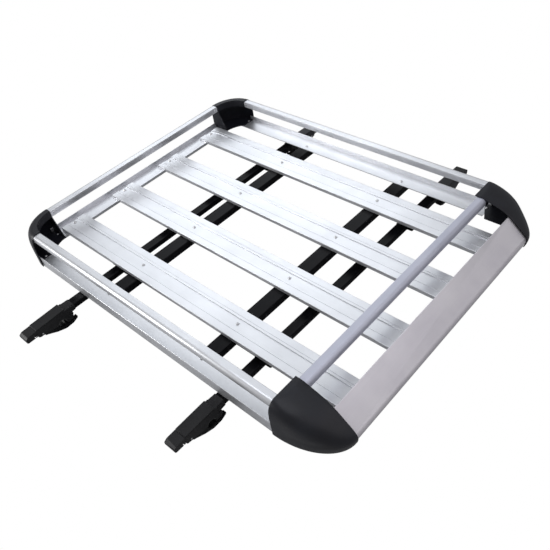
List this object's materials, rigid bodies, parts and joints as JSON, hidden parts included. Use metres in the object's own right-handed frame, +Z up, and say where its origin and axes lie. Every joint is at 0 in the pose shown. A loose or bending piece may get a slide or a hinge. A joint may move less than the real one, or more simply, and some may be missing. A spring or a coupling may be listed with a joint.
{
  "type": "roof cargo basket",
  "caption": "Roof cargo basket with aluminium slats and rails in plastic corner shells, on crossbars with lockable roof-rail clamps.",
  "frame": {"origin": "on the ground under the middle of the bounding box: the floor the feet stand on, half way along and across the whole part", "axes": "+X along the slats towards the sloping wing (front of the car), +Y to the left of the car, +Z up"},
  "size_m": [1.2761, 1.374, 0.1887],
  "materials": {
    "deck_aluminium": "satin anodised, drawn lines along the slat",
    "rail_aluminium": "satin anodised",
    "shell_plastic": "satin, fine grain",
    "bar_paint": "satin black powder coat",
    "plate_paint": "satin black",
    "foot_plastic": "satin moulded",
    "lever_paint": "satin black",
    "lock_metal": "plated",
    "pad_rubber": "matt",
    "washer_nylon": "matt",
    "screw_steel": "zinc plated",
    "bolt_steel": "zinc plated"
  },
  "bodies": {
    "basket": {"bridge_plate_front_left": "plate_paint", "bridge_plate_front_right": "plate_paint", "bridge_plate_rear_left": "plate_paint", "bridge_plate_rear_right": "plate_paint", "clamp_bolts": "bolt_steel", "clamp_nuts": "bolt_steel", "clamp_plates": "plate_paint", "corner_shell_front_left": "shell_plastic", "corner_shell_front_right": "shell_plastic", "corner_shell_rear_left": "shell_plastic", "corner_shell_rear_right": "shell_plastic", "crossbar_front": "bar_paint", "crossbar_rear": "bar_paint", "deck_nuts": "bolt_steel", "flap_pins": "bolt_steel", "foot_body_front_left": "foot_plastic", "foot_body_front_right": "foot_plastic", "foot_body_rear_left": "foot_plastic", "foot_body_rear_right": "foot_plastic", "foot_cover_front_left": "foot_plastic", "foot_cover_front_right": "foot_plastic", "foot_cover_rear_left": "foot_plastic", "foot_cover_rear_right": "foot_plastic", "foot_screws": "bolt_steel", "lever_pins": "bolt_steel", "lower_rail_front": "rail_aluminium", "lower_rail_left": "rail_aluminium", "lower_rail_rear": "rail_aluminium", "lower_rail_right": "rail_aluminium", "mount_bar_front": "bar_paint", "mount_bar_rear": "bar_paint", "mount_bolts": "bolt_steel", "rail_pad_front_left": "pad_rubber", "rail_pad_front_right": "pad_rubber", "rail_pad_rear_left": "pad_rubber", "rail_pad_rear_right": "pad_rubber", "rail_screws": "screw_steel", "shell_screws": "screw_steel", "slat_1": "deck_aluminium", "slat_2": "deck_aluminium", "slat_3": "deck_aluminium", "slat_4": "deck_aluminium", "slat_end_bolts": "bolt_steel", "slat_spacers": "washer_nylon", "upper_rail_front": "rail_aluminium", "upper_rail_left": "rail_aluminium", "upper_rail_rear": "rail_aluminium", "upper_rail_right": "rail_aluminium"},
    "lever_front_left": {"clamp_lever_front_left": "lever_paint"},
    "flap_front_left": {"end_flap_front_left": "foot_plastic"},
    "lock_front_left": {"lock_cylinder_front_left": "lock_metal"},
    "lever_front_right": {"clamp_lever_front_right": "lever_paint"},
    "flap_front_right": {"end_flap_front_right": "foot_plastic"},
    "lock_front_right": {"lock_cylinder_front_right": "lock_metal"},
    "lever_rear_left": {"clamp_lever_rear_left": "lever_paint"},
    "flap_rear_left": {"end_flap_rear_left": "foot_plastic"},
    "lock_rear_left": {"lock_cylinder_rear_left": "lock_metal"},
    "lever_rear_right": {"clamp_lever_rear_right": "lever_paint"},
    "flap_rear_right": {"end_flap_rear_right": "foot_plastic"},
    "lock_rear_right": {"lock_cylinder_rear_right": "lock_metal"}
  },
  "joints": [
    {"name": "lever_hinge_front_left", "type": "hinge", "parent": "basket", "child": "lever_front_left", "pos_m": [0.283, 0.635, 0.0405], "axis": [1, 0, 0], "range_deg": [0, 35]},
    {"name": "lever_hinge_front_right", "type": "hinge", "parent": "basket", "child": "lever_front_right", "pos_m": [0.283, -0.599, 0.0405], "axis": [-1, 0, 0], "range_deg": [0, 35]},
    {"name": "lever_hinge_rear_left", "type": "hinge", "parent": "basket", "child": "lever_rear_left", "pos_m": [-0.33, 0.599, 0.0405], "axis": [1, 0, 0], "range_deg": [0, 35]},
    {"name": "lever_hinge_rear_right", "type": "hinge", "parent": "basket", "child": "lever_rear_right", "pos_m": [-0.33, -0.635, 0.0405], "axis": [-1, 0, 0], "range_deg": [0, 35]},
    {"name": "flap_hinge_front_left", "type": "hinge", "parent": "basket", "child": "flap_front_left", "pos_m": [0.283, 0.6545, 0.0465], "axis": [-1, 0, 0], "range_deg": [0, 75]},
    {"name": "flap_hinge_front_right", "type": "hinge", "parent": "basket", "child": "flap_front_right", "pos_m": [0.283, -0.6185, 0.0465], "axis": [1, 0, 0], "range_deg": [0, 75]},
    {"name": "flap_hinge_rear_left", "type": "hinge", "parent": "basket", "child": "flap_rear_left", "pos_m": [-0.33, 0.6185, 0.0465], "axis": [-1, 0, 0], "range_deg": [0, 75]},
    {"name": "flap_hinge_rear_right", "type": "hinge", "parent": "basket", "child": "flap_rear_right", "pos_m": [-0.33, -0.6545, 0.0465], "axis": [1, 0, 0], "range_deg": [0, 75]},
    {"name": "lock_turn_front_left", "type": "hinge", "parent": "basket", "child": "lock_front_left", "pos_m": [0.27025, 0.621, 0.0535], "axis": [-1, 0, 0], "range_deg": [0, 90]},
    {"name": "lock_turn_front_right", "type": "hinge", "parent": "basket", "child": "lock_front_right", "pos_m": [0.27025, -0.585, 0.0535], "axis": [-1, 0, 0], "range_deg": [0, 90]},
    {"name": "lock_turn_rear_left", "type": "hinge", "parent": "basket", "child": "lock_rear_left", "pos_m": [-0.34275, 0.585, 0.0535], "axis": [-1, 0, 0], "range_deg": [0, 90]},
    {"name": "lock_turn_rear_right", "type": "hinge", "parent": "basket", "child": "lock_rear_right", "pos_m": [-0.34275, -0.621, 0.0535], "axis": [-1, 0, 0], "range_deg": [0, 90]}
  ]
}
